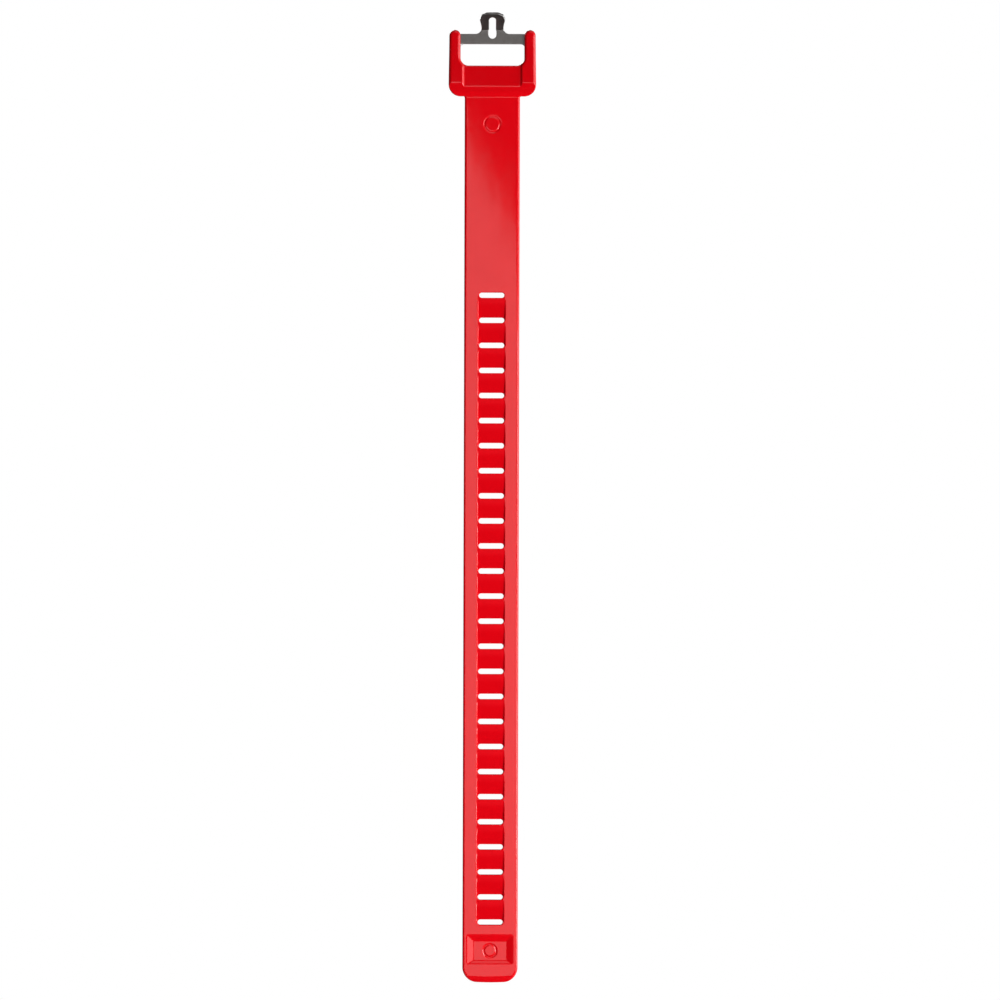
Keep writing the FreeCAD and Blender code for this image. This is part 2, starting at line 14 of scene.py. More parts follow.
import bmesh
import bpy
import numpy as np
from mathutils import Euler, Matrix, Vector

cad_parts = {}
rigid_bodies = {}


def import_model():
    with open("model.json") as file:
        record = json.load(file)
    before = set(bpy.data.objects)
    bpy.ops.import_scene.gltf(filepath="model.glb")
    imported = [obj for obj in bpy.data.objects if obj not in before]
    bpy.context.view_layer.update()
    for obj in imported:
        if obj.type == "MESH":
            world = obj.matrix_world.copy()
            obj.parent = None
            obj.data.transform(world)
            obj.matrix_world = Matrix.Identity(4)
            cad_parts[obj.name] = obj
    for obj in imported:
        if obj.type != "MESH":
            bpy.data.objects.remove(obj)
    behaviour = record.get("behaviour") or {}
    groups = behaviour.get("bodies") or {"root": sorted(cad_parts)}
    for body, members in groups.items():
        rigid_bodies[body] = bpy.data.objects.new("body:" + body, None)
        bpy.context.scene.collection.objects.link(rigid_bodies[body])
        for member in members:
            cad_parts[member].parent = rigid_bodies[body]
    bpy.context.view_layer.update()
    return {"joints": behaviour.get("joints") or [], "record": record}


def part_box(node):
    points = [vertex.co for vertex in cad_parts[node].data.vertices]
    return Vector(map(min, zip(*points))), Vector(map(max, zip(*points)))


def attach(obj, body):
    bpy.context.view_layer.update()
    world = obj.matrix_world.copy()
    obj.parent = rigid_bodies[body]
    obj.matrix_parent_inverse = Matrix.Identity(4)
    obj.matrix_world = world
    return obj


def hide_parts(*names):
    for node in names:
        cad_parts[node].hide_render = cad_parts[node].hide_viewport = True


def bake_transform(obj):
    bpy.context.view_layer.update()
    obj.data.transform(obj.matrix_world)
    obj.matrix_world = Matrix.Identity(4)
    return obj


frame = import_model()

LOG = logging.getLogger("ski_strap")
METRES = 0.001
Field = Callable[[np.ndarray, np.ndarray, np.ndarray], np.ndarray]
Spot = tuple[float, float]


class Slot(Enum):
    """The finishes that the part's record names."""

    ELASTOMER = "red_elastomer"
    STEEL = "plate_steel"


# ---------------------------------------------------------------- distance fields


def joined(a: np.ndarray, b: np.ndarray, radius: float) -> np.ndarray:
    """Two solids as one, with a fillet where they meet.

    Args:
        a: How far each point is outside the first solid.
        b: How far each point is outside the second solid.
        radius: The fillet's radius.

    Returns:
        How far each point is outside the joined solid.
    """
    reach = np.hypot(np.maximum(radius - a, 0.0), np.maximum(radius - b, 0.0))
    return np.maximum(radius, np.minimum(a, b)) - reach


def common(a: np.ndarray, b: np.ndarray, radius: float) -> np.ndarray:
    """What two solids share, with a rounded edge where their faces meet.

    Args:
        a: How far each point is outside the first solid.
        b: How far each point is outside the second solid.
        radius: The rounding's radius.

    Returns:
        How far each point is outside what they share.
    """
    reach = np.hypot(np.maximum(radius + a, 0.0), np.maximum(radius + b, 0.0))
    return np.minimum(-radius, np.maximum(a, b)) + reach


def less(a: np.ndarray, b: np.ndarray, radius: float) -> np.ndarray:
    """The first solid with the second cut out of it, with a rounded edge round the cut."""
    return common(a, -b, radius)


def stadium(across: np.ndarray, along: np.ndarray, half_length: float, radius: float) -> np.ndarray:
    """How far a point is outside a slot with round ends, whose length runs along the first direction."""
    past = np.maximum(np.abs(across) - (half_length - radius), 0.0)
    return np.hypot(past, along) - radius


def smooth_step(share: np.ndarray) -> np.ndarray:
    """A soft rise from 0 to 1 as the share goes from 0 to 1."""
    held = np.clip(share, 0.0, 1.0)
    return held * held * (3.0 - 2.0 * held)


@dataclass
class Mesher:
    """Turns a distance field into a closed mesh of quads on a grid that is fine only where it has to be.

    Args:
        solid: The distance field.
        across: The grid's planes across X.
        deep: The grid's planes through Y.
        up: The grid's planes up Z.
    """

    solid: Field
    across: np.ndarray
    deep: np.ndarray
    up: np.ndarray
    nudge: float = 0.02
    most_move: float = 0.12

    @staticmethod
    def planes(low: float, high: float, coarse: float, fine: float, spots: Sequence[Spot]) -> np.ndarray:
        """Grid planes along one direction, close together near each spot.

        Args:
            low: Where the planes start.
            high: What they reach past.
            coarse: The usual spacing.
            fine: The spacing near a spot.
            spots: The middle and the reach of each stretch that needs the fine spacing.

        Returns:
            The planes' places, in rising order.
        """
        places = [low]
        while places[-1] < high:
            here = places[-1]
            ahead = [middle - reach - here for middle, reach in spots if middle + reach > here]
            gap = min(ahead, default=coarse)
            places.append(here + min(coarse, max(fine, gap)))
        return np.array(places)

    @staticmethod
    def evenly(low: float, high: float, gap: float) -> np.ndarray:
        """Grid planes along one direction, all the same distance apart."""
        return Mesher.planes(low, high, gap, gap, [])

    def values(self) -> np.ndarray:
        """The field at every corner of the grid.

        Returns:
            One value for each corner.
        """
        x = self.across[:, None, None]
        y = self.deep[None, :, None]
        z = self.up[None, None, :]
        shape = (len(self.across), len(self.deep), len(self.up))
        return np.broadcast_to(self.solid(x, y, z), shape)

    def net(self) -> tuple[np.ndarray, np.ndarray]:
        """One vertex in each grid cell that the surface crosses, and a quad round each edge that it crosses.

        Returns:
            The vertices' places, and the four vertex numbers of each quad.
        """
        values = self.values()
        inside = values < 0.0
        axes = (self.across, self.deep, self.up)
        cells = tuple(n - 1 for n in values.shape)
        sums = np.zeros((math.prod(cells), 3))
        hits = np.zeros(math.prod(cells))
        rings = []
        for axis in range(3):
            nexts = ((axis + 1) % 3, (axis + 2) % 3)
            before = [slice(None)] * 3
            after = [slice(None)] * 3
            before[axis] = slice(0, -1)
            after[axis] = slice(1, None)
            crossed = inside[tuple(before)] != inside[tuple(after)]
            for other in nexts:
                ends = [slice(None)] * 3
                ends[other] = [0, -1]
                crossed[tuple(ends)] = False
            corner = np.argwhere(crossed)
            low = values[tuple(before)][crossed]
            high = values[tuple(after)][crossed]
            point = np.stack([axes[n][corner[:, n]] for n in range(3)], axis=1)
            step = axes[axis][corner[:, axis] + 1] - axes[axis][corner[:, axis]]
            point[:, axis] += step * low / (low - high)
            ring = []
            for first, second in ((-1, -1), (0, -1), (0, 0), (-1, 0)):
                cell = corner.copy()
                cell[:, nexts[0]] += first
                cell[:, nexts[1]] += second
                number = np.ravel_multi_index(cell.T, cells)
                for n in range(3):
                    sums[:, n] += np.bincount(number, point[:, n], len(sums))
                hits += np.bincount(number, minlength=len(hits))
                ring.append(number)
            ring = np.stack(ring, axis=1)
            flipped = ~inside[tuple(before)][crossed]
            ring[flipped] = ring[flipped][:, ::-1]
            rings.append(ring)
        used = hits > 0
        numbers = np.cumsum(used) - 1
        return sums[used] / hits[used][:, None], numbers[np.concatenate(rings)]

    def slope(self, place: np.ndarray) -> np.ndarray:
        """Which way the field rises fastest at each place, and how fast.

        Args:
            place: The places.

        Returns:
            One slope for each place.
        """
        rise = np.empty_like(place)
        for axis in range(3):
            shift = np.zeros(3)
            shift[axis] = self.nudge
            rise[:, axis] = self.solid(*(place + shift).T) - self.solid(*(place - shift).T)
        return rise / (2.0 * self.nudge)

    def settle(self, place: np.ndarray) -> np.ndarray:
        """Moves each vertex onto the surface itself.

        Args:
            place: Where the vertices are.

        Returns:
            Where they end up.
        """
        for _ in range(3):
            rise = self.slope(place)
            length = np.maximum((rise**2).sum(axis=1), 0.25)
            move = rise * (self.solid(*place.T) / length)[:, None]
            size = np.linalg.norm(move, axis=1)
            move *= np.minimum(1.0, self.most_move / np.maximum(size, 1e-9))[:, None]
            place = place - move
        return place

    def roundness(self, place: np.ndarray, span: float = 0.3) -> np.ndarray:
        """How sharply the surface turns at each place.

        Args:
            place: The places, on the surface.
            span: How far off the field is read.

        Returns:
            Above 0 on an edge and below 0 in a hollow, from -1 to 1.
        """
        total = -6.0 * self.solid(*place.T)
        for axis in range(3):
            shift = np.zeros(3)
            shift[axis] = span
            total = total + self.solid(*(place + shift).T) + self.solid(*(place - shift).T)
        return np.clip(total / span, -1.0, 1.0)

    def piece(self, name: str) -> bpy.types.Object:
        """The meshed solid as a Blender object, in metres, with its wear stored on it.

        Args:
            name: The object's name.

        Returns:
            The meshed solid as a Blender object, in metres, with its roundness stored on it as the mask for
            painted edge highlights, painted hollow shade and rougher edges.
        """
        place, quads = self.net()
        place = self.settle(place)
        mesh = bpy.data.meshes.new(name)
        mesh.from_pydata((place * METRES).tolist(), [], quads.tolist())
        # The roundness is the mask that paints edges lighter (painted highlight) and hollows darker (painted
        # shade), and makes edges rougher.
        wear_and_painted_light = mesh.attributes.new("wear_and_painted_light", "FLOAT", "POINT")
        wear_and_painted_light.data.foreach_set("value", self.roundness(place).astype(np.float32))
        made = bpy.data.objects.new(name, mesh)
        bpy.context.scene.collection.objects.link(made)
        return made


def cut_ends(made: bpy.types.Object, low: float | None, high: float | None) -> None:
    """Cuts a piece off square below and above, and closes it with a flat cap at each cut.

    Args:
        made: The piece.
        low: The height of the lower cut, or None for no cut.
        high: The height of the upper cut, or None for no cut.
    """
    shape = bmesh.new()
    shape.from_mesh(made.data)
    for level, way in ((low, -1.0), (high, 1.0)):
        if level is None:
            continue
        everything = shape.verts[:] + shape.edges[:] + shape.faces[:]
        cut = bmesh.ops.bisect_plane(
            shape,
            geom=everything,
            dist=1e-7,
            plane_co=(0.0, 0.0, level * METRES),
            plane_no=(0.0, 0.0, way),
            clear_outer=True,
        )
        rim = [e for e in cut["geom_cut"] if isinstance(e, bmesh.types.BMEdge)]
        bmesh.ops.edgenet_fill(shape, edges=rim)
        for edge in rim:
            edge.smooth = False
    bmesh.ops.recalc_face_normals(shape, faces=shape.faces[:])
    for face in shape.faces:
        face.smooth = True
    shape.to_mesh(made.data)
    shape.free()


def keep_rest_places(made: bpy.types.Object) -> None:
    """Stores where each vertex lies at rest, so that a finish stays put on the piece.

    Args:
        made: The piece.
    """
    count = len(made.data.vertices)
    place = np.empty(count * 3, np.float32)
    made.data.vertices.foreach_get("co", place)
    store = made.data.attributes.new("rest_place", "FLOAT_VECTOR", "POINT")
    store.data.foreach_set("vector", place)


# ---------------------------------------------------------------- finishes


class Recipe:
    """A material being written: makes shader nodes and joins them."""

    def __init__(self, name: str) -> None:
        """Starts an empty material with a Principled shader and the rest-place coordinates.

        Args:
            name: The material's name.
        """
        self.material = bpy.data.materials.new(name)
        self.material.use_nodes = True
        self.nodes = self.material.node_tree.nodes
        self.links = self.material.node_tree.links
        self.shader = self.nodes["Principled BSDF"]
        self.place = self.stored("rest_place", "Vector")

    def stored(self, name: str, output: str = "Fac") -> bpy.types.NodeSocket:
        """An attribute of the mesh as a socket.

        Args:
            name: The attribute's name.
            output: Which output of its node to use.

        Returns:
            The socket.
        """
        node = self.nodes.new("ShaderNodeAttribute")
        node.attribute_name = name
        return node.outputs[output]

    def depth(self) -> bpy.types.NodeSocket:
        """How far back a point lies at rest.

        Returns:
            The distance in metres, as a socket.
        """
        node = self.nodes.new("ShaderNodeSeparateXYZ")
        self.links.new(self.place, node.inputs[0])
        return node.outputs["Y"]

    def stretched(self, scale: tuple[float, float, float]) -> bpy.types.NodeSocket:
        """The rest place with each direction scaled by its own number.

        Args:
            scale: The three numbers.

        Returns:
            The scaled place.
        """
        node = self.nodes.new("ShaderNodeVectorMath")
        node.operation = "MULTIPLY"
        self.links.new(self.place, node.inputs[0])
        node.inputs[1].default_value = scale
        return node.outputs["Vector"]

    def noise(
        self,
        scale: float,
        detail: float = 2.0,
        stretch: tuple[float, float, float] = (1.0, 1.0, 1.0),
    ) -> bpy.types.NodeSocket:
        """Cloudy noise from 0 to 1.

        Args:
            scale: How many waves it has in a metre.
            detail: How many finer layers it has.
            stretch: What each direction is scaled by first.

        Returns:
            The noise's value.
        """
        node = self.nodes.new("ShaderNodeTexNoise")
        node.inputs["Scale"].default_value = scale
        node.inputs["Detail"].default_value = detail
        self.links.new(self.stretched(stretch), node.inputs["Vector"])
        return node.outputs["Fac"]

    def ranged(
        self,
        value: bpy.types.NodeSocket,
        source: tuple[float, float],
        target: tuple[float, float],
    ) -> bpy.types.NodeSocket:
        """A value's share of one range, held to it and carried to another.

        Args:
            value: The value.
            source: The range it is read on.
            target: The range it is carried to.

        Returns:
            The carried value.
        """
        node = self.nodes.new("ShaderNodeMapRange")
        self.links.new(value, node.inputs["Value"])
        for name, number in zip(("From Min", "From Max", "To Min", "To Max"), source + target):
            node.inputs[name].default_value = number
        return node.outputs["Result"]

    def sum(self, first: bpy.types.NodeSocket, second: bpy.types.NodeSocket) -> bpy.types.NodeSocket:
        """Two values added.

        Args:
            first: One value.
            second: The other.

        Returns:
            Their sum.
        """
        node = self.nodes.new("ShaderNodeMath")
        node.operation = "ADD"
        self.links.new(first, node.inputs[0])
        self.links.new(second, node.inputs[1])
        return node.outputs["Value"]

    def mixed(
        self,
        share: bpy.types.NodeSocket,
        first: Sequence[float] | bpy.types.NodeSocket,
        second: Sequence[float],
    ) -> bpy.types.NodeSocket:
        """One colour going over to another.

        Args:
            share: How much of the second colour there is, from 0 to 1.
            first: The first colour.
            second: The second colour.

        Returns:
            The mixed colour.
        """
        node = self.nodes.new("ShaderNodeMix")
        node.data_type = "RGBA"
        self.links.new(share, node.inputs["Factor"])
        start = node.inputs[6]
        if isinstance(first, bpy.types.NodeSocket):
            self.links.new(first, start)
        else:
            start.default_value = (*first, 1.0)
        node.inputs[7].default_value = (*second, 1.0)
        return node.outputs[2]

    def raised(
        self,
        height: bpy.types.NodeSocket,
        distance: float,
        strength: float = 1.0,
        under: bpy.types.NodeSocket | None = None,
    ) -> bpy.types.NodeSocket:
        """A bump in the surface.

        Args:
            height: The bump's height from 0 to 1.
            distance: How high 1 is, in metres.
            strength: How much of it shows.
            under: A normal that the bump lies on.

        Returns:
            The changed normal.
        """
        node = self.nodes.new("ShaderNodeBump")
        node.inputs["Distance"].default_value = distance
        node.inputs["Strength"].default_value = strength
        self.links.new(height, node.inputs["Height"])
        if under is not None:
            self.links.new(under, node.inputs["Normal"])
        return node.outputs["Normal"]

    def set(self, **values: float | Sequence[float] | bpy.types.NodeSocket) -> None:
        """Sets or links the shader's inputs.

        Args:
            values: The inputs, each named with _ for a space.
        """
        for name, value in values.items():
            socket = self.shader.inputs[name.replace("_", " ")]
            if isinstance(value, bpy.types.NodeSocket):
                self.links.new(value, socket)
            else:
                socket.default_value = value


@dataclass(frozen=True)
class ElastomerFinish:
    """Solid-coloured elastomer from a mould, with a soft flow in its gloss and fine scuffs; its edges are
    rougher and painted a lighter, pinker red, a painted highlight together with rubbing, and its hollows are
    painted deeper as painted shade.
    """

    name: str
    colour: tuple[float, float, float] = (0.78, 0.0004, 0.0050)
    # A darker red for random mottling, also painted into hollows and creases as painted shade.
    deep: tuple[float, float, float] = (0.70, 0.0002, 0.0040)
    # Convex edges are painted this lighter, pinker red: a painted highlight, together with rubbing.
    rubbed_edge_highlight: tuple[float, float, float] = (0.82, 0.010, 0.018)
    thick: tuple[float, float, float] = (0.66, 0.0002, 0.0040)
    roughness: tuple[float, float] = (0.04, 0.065)
    specular: float = 0.5
    flow_height: float = 0.000008
    grain_height: float = 0.000001

    def material(self) -> bpy.types.Material:
        """Writes the material.

        Returns:
            The material.
        """
        recipe = Recipe(self.name)
        cloud = recipe.noise(70.0, 3.0)
        speck = recipe.noise(2600.0, 2.0)
        flow = recipe.noise(150.0, 1.0, (1.0, 1.0, 0.35))
        scuff = recipe.noise(900.0, 3.0, (4.0, 4.0, 0.3))
        wear_and_painted_light = recipe.stored("wear_and_painted_light")
        tone = recipe.mixed(recipe.ranged(cloud, (0.2, 0.9), (0.0, 0.8)), self.colour, self.deep)
        tone = recipe.mixed(recipe.ranged(speck, (0.5, 0.8), (0.0, 0.35)), tone, self.deep)
        tone = recipe.mixed(recipe.ranged(recipe.depth(), (0.0001, -0.0012), (0.0, 1.0)), tone, self.thick)
        # Convex edges are painted a lighter, pinker red: a painted highlight, together with rubbing.
        tone = recipe.mixed(recipe.ranged(wear_and_painted_light, (0.15, 0.9), (0.0, 0.5)), tone, self.rubbed_edge_highlight)
        # Hollows and creases are painted a deeper red: painted shade.
        tone = recipe.mixed(recipe.ranged(wear_and_painted_light, (-0.1, -0.8), (0.0, 0.6)), tone, self.deep)
        gloss = recipe.ranged(cloud, (0.3, 0.7), self.roughness)
        gloss = recipe.sum(gloss, recipe.ranged(scuff, (0.50, 0.85), (0.0, 0.03)))
        gloss = recipe.sum(gloss, recipe.ranged(wear_and_painted_light, (0.2, 0.9), (0.0, 0.05)))
        surface = recipe.raised(flow, self.flow_height)
        surface = recipe.raised(speck, self.grain_height, 0.6, surface)
        surface = recipe.raised(scuff, self.grain_height, 0.5, surface)
        recipe.set(Base_Color=tone, Roughness=gloss, Normal=surface)
        recipe.set(IOR=1.5, Specular_IOR_Level=self.specular)
        return recipe.material


@dataclass(frozen=True)
class SteelFinish:
    """Stamped stainless plate, tumbled to a dull grey, with fine scratches; its edges are painted a brighter
    grey as a painted highlight.
    """

    name: str = "tumbled_steel"
    colour: tuple[float, float, float] = (0.341, 0.319, 0.307)
    dull: tuple[float, float, float] = (0.247, 0.230, 0.221)
    # The brighter grey that edges are painted in: a painted highlight.
    bright: tuple[float, float, float] = (0.50, 0.49, 0.48)

    def material(self) -> bpy.types.Material:
        """Writes the material.

        Returns:
            The material.
        """
        recipe = Recipe(self.name)
        cloud = recipe.noise(260.0, 4.0)
        pits = recipe.noise(3800.0, 2.0)
        along = recipe.noise(2200.0, 3.0, (0.06, 1.0, 3.0))
        slant = recipe.noise(1800.0, 2.0, (1.4, 1.0, 0.12))
        wear_and_painted_light = recipe.stored("wear_and_painted_light")
        tone = recipe.mixed(recipe.ranged(cloud, (0.35, 0.7), (0.0, 0.7)), self.colour, self.dull)
        tone = recipe.mixed(recipe.ranged(pits, (0.6, 0.75), (0.0, 0.5)), tone, self.dull)
        # Edges are painted a brighter grey: a painted highlight.
        tone = recipe.mixed(recipe.ranged(wear_and_painted_light, (0.2, 0.9), (0.0, 0.8)), tone, self.bright)
        gloss = recipe.ranged(cloud, (0.3, 0.7), (0.29, 0.41))
        gloss = recipe.sum(gloss, recipe.ranged(along, (0.5, 0.8), (0.0, 0.12)))
        surface = recipe.raised(along, 0.000006, 0.7)
        surface = recipe.raised(slant, 0.000004, 0.5, surface)
        surface = recipe.raised(pits, 0.000006, 0.6, surface)
        recipe.set(Base_Color=tone, Roughness=gloss, Normal=surface, Metallic=1.0)
        return recipe.material


# ---------------------------------------------------------------- the elastomer moulding


@dataclass
class ForkHead:
    """The fork-shaped head: two arms, the bar below the window, and the slope down to the band."""

    half_width: float
    rise: float
    foot: float
    half_depth: float
    band_front: float
    arm_width: float = 6.2
    tip_radius: float = 2.95
    corner_radius: float = 6.2
    window_foot: float = -11.4
    window_radius: float = 4.2
    rim_radius: float = 1.6
    sunk_half_width: float = 15.2
    sunk_depth: float = 1.0
    slope_height: float = 6.6
    arm_taper: float = 0.35

    def distance(self, x: np.ndarray, y: np.ndarray, z: np.ndarray) -> np.ndarray:
        """How far a point is outside the head.

        Args:
            x: The points' places across the band.
            y: Their places through its thickness.
            z: Their heights.

        Returns:
            The distances.
        """
        slimmer = self.arm_taper * smooth_step((z - self.foot) / (self.rise - self.foot))
        side = np.abs(x) - (self.half_width - slimmer)
        inner = self.half_width - self.arm_width
        block = common(side, self.foot - z, self.corner_radius)
        window = common(np.abs(x) - inner, self.window_foot - z, self.window_radius)
        fork = common(np.maximum(block, -window), z - self.rise, self.tip_radius)
        solid = common(fork, np.abs(y) - self.half_depth, self.rim_radius)
        return common(self.sunk(solid, x, y, z), self.slope(y, z), 0.1)

    def sunk(self, solid: np.ndarray, x: np.ndarray, y: np.ndarray, z: np.ndarray) -> np.ndarray:
        """Sinks the bar's face between the arms, with soft walls.

        Args:
            solid: How far each point is outside the head before that.
            x: The points' places across the band.
            y: Their places through its thickness.
            z: Their heights.

        Returns:
            How far each point is outside it afterwards.
        """
        aside = np.abs(x) - self.sunk_half_width
        above = z - (self.window_foot + self.window_radius * 0.4)
        pool = common(common(aside, above, 1.2), y + self.half_depth - self.sunk_depth, 0.6)
        return less(solid, pool, 0.7)

    def slope(self, y: np.ndarray, z: np.ndarray) -> np.ndarray:
        """How far a point is in front of the slope that runs back from the bar's foot to the band.

        Args:
            y: The points' places through the head's depth.
            z: Their heights.

        Returns:
            The distances.
        """
        run = self.half_depth + self.band_front
        length = math.hypot(run, self.slope_height)
        return ((self.band_front - y) * self.slope_height + (self.foot - z) * run) / length


@dataclass
class Band:
    """The flat band: its slots with their sunk rungs, the thumb pad, the ring marks and the rounded tail."""

    half_width: float
    front: float
    back: float
    tail_end: float
    first_slot: float
    pitch: float
    slots: int
    pad_top: float
    mark_up: float
    edge_radius: float = 0.9
    front_radius: float = 1.25
    slot_half_width: float = 6.575
    slot_half_height: float = 1.4
    slot_rim: float = 0.3
    rung_half_width: float = 7.05
    rung_depth: float = 0.9
    tail_radius: float = 7.2
    tail_crown: float = 0.7
    tail_roll: float = 3.6
    tail_drop: float = 0.95
    pad_half_width: float = 12.4
    pad_height: float = 15.7
    pad_depth: float = 1.0
    pad_side_wall: float = 3.7
    pad_top_wall: float = 3.4
    pad_foot_wall: float = 2.2
    mark_radius: float = 4.1
    mark_half_line: float = 0.42
    mark_depth: float = 0.3
    pad_mark_radius: float = 3.3
    pad_mark_drop: float = 8.6

    def distance(self, x: np.ndarray, y: np.ndarray, z: np.ndarray) -> np.ndarray:
        """How far a point is outside the band.

        Args:
            x: The points' places across the band.
            y: Their places through its thickness.
            z: Their heights.

        Returns:
            The distances.
        """
        crown = self.tail_crown * (x / self.half_width) ** 2
        outline = common(np.abs(x) - self.half_width, self.tail_end + crown - z, self.tail_radius)
        strip = common(common(outline, self.front - y, self.front_radius), y - self.back, self.edge_radius)
        strip = common(strip, self.face(x, z, outline) - y, 0.25)
        strip = less(strip, self.rung_pool(x, y, z), 0.2)
        return less(strip, self.slot(x, z), self.slot_rim)

    def face(self, x: np.ndarray, z: np.ndarray, outline: np.ndarray) -> np.ndarray:
        """Where the band's face lies: the pad and the marks are sunk into it, and it rolls back at the tail.

        Args:
            x: The points' places across the band.
            z: Their heights.
            outline: How far they are outside the band's outline.

        Returns:
            How far back the face is at each point.
        """
        depth = self.pad(x, z)
        depth = depth + self.ring(x, z - self.mark_up, self.mark_radius)
        depth = depth + self.ring(x, z - self.pad_top + self.pad_mark_drop, self.pad_mark_radius)
        share = np.clip((self.tail_end + self.tail_roll - z) / self.tail_roll, 0.0, 0.98)
        near = np.clip(1.0 + outline / self.tail_roll, 0.0, 0.98) * (share > 0.0)
        rolled = np.minimum(near, share + 0.1) ** 2
        return self.front + depth + rolled * self.tail_drop

    def pad(self, x: np.ndarray, z: np.ndarray) -> np.ndarray:
        """How deep the thumb pad is sunk: sloping walls round a level floor.

        Args:
            x: The points' places across the band.
            z: Their heights.

        Returns:
            The depths.
        """
        side = (self.pad_half_width - np.abs(x)) / self.pad_side_wall
        top = (self.pad_top - z) / self.pad_top_wall
        foot = (z - self.pad_top + self.pad_height) / self.pad_foot_wall
        inset = -common(-side, common(-top, -foot, 0.2), 0.35)
        return self.pad_depth * np.clip(inset, 0.0, 1.0)

    def ring(self, x: np.ndarray, up: np.ndarray, radius: float) -> np.ndarray:
        """How deep a plain ring is sunk, where up is the height above the ring's middle."""
        off = np.abs(np.hypot(x, up) - radius) / self.mark_half_line
        return self.mark_depth * smooth_step(1.6 - off)

    def slot(self, x: np.ndarray, z: np.ndarray) -> np.ndarray:
        """How far a point is outside the nearest slot."""
        number = np.clip(np.round((self.first_slot - z) / self.pitch), 0, self.slots - 1)
        up = z - self.first_slot + number * self.pitch
        return stadium(x, up, self.slot_half_width, self.slot_half_height)

    def rung_pool(self, x: np.ndarray, y: np.ndarray, z: np.ndarray) -> np.ndarray:
        """How far a point is outside what is sunk over the rungs.

        It is deepest above a slot and level with the face below the next one.

        Args:
            x: The points' places across the band.
            y: Their places through its thickness.
            z: Their heights.

        Returns:
            The distances.
        """
        lower = np.ceil((self.first_slot - z) / self.pitch)
        up = z - self.first_slot + lower * self.pitch - self.slot_half_height
        rung = self.pitch - 2.0 * self.slot_half_height
        depth = self.rung_depth * np.clip(1.0 - up / rung, 0.0, 1.0)
        sunk = (lower >= 1) & (lower <= self.slots - 1)
        level = y - self.front - np.where(sunk, depth, -1.0)
        return common(np.abs(x) - self.rung_half_width, level, 0.15)

    def on_rung(self, middle: Vector, normal: Vector) -> bool:
        """Whether a face of the mesh is on a sunk rung.

        Args:
            middle: The face's middle, in metres.
            normal: The way it faces.

        Returns:
            True if it is.
        """
        across, up = abs(middle.x) / METRES, middle.z / METRES
        last_slot = self.first_slot - self.pitch * (self.slots - 1)
        return across < self.rung_half_width - 0.1 and last_slot < up < self.first_slot and normal.y < -0.9


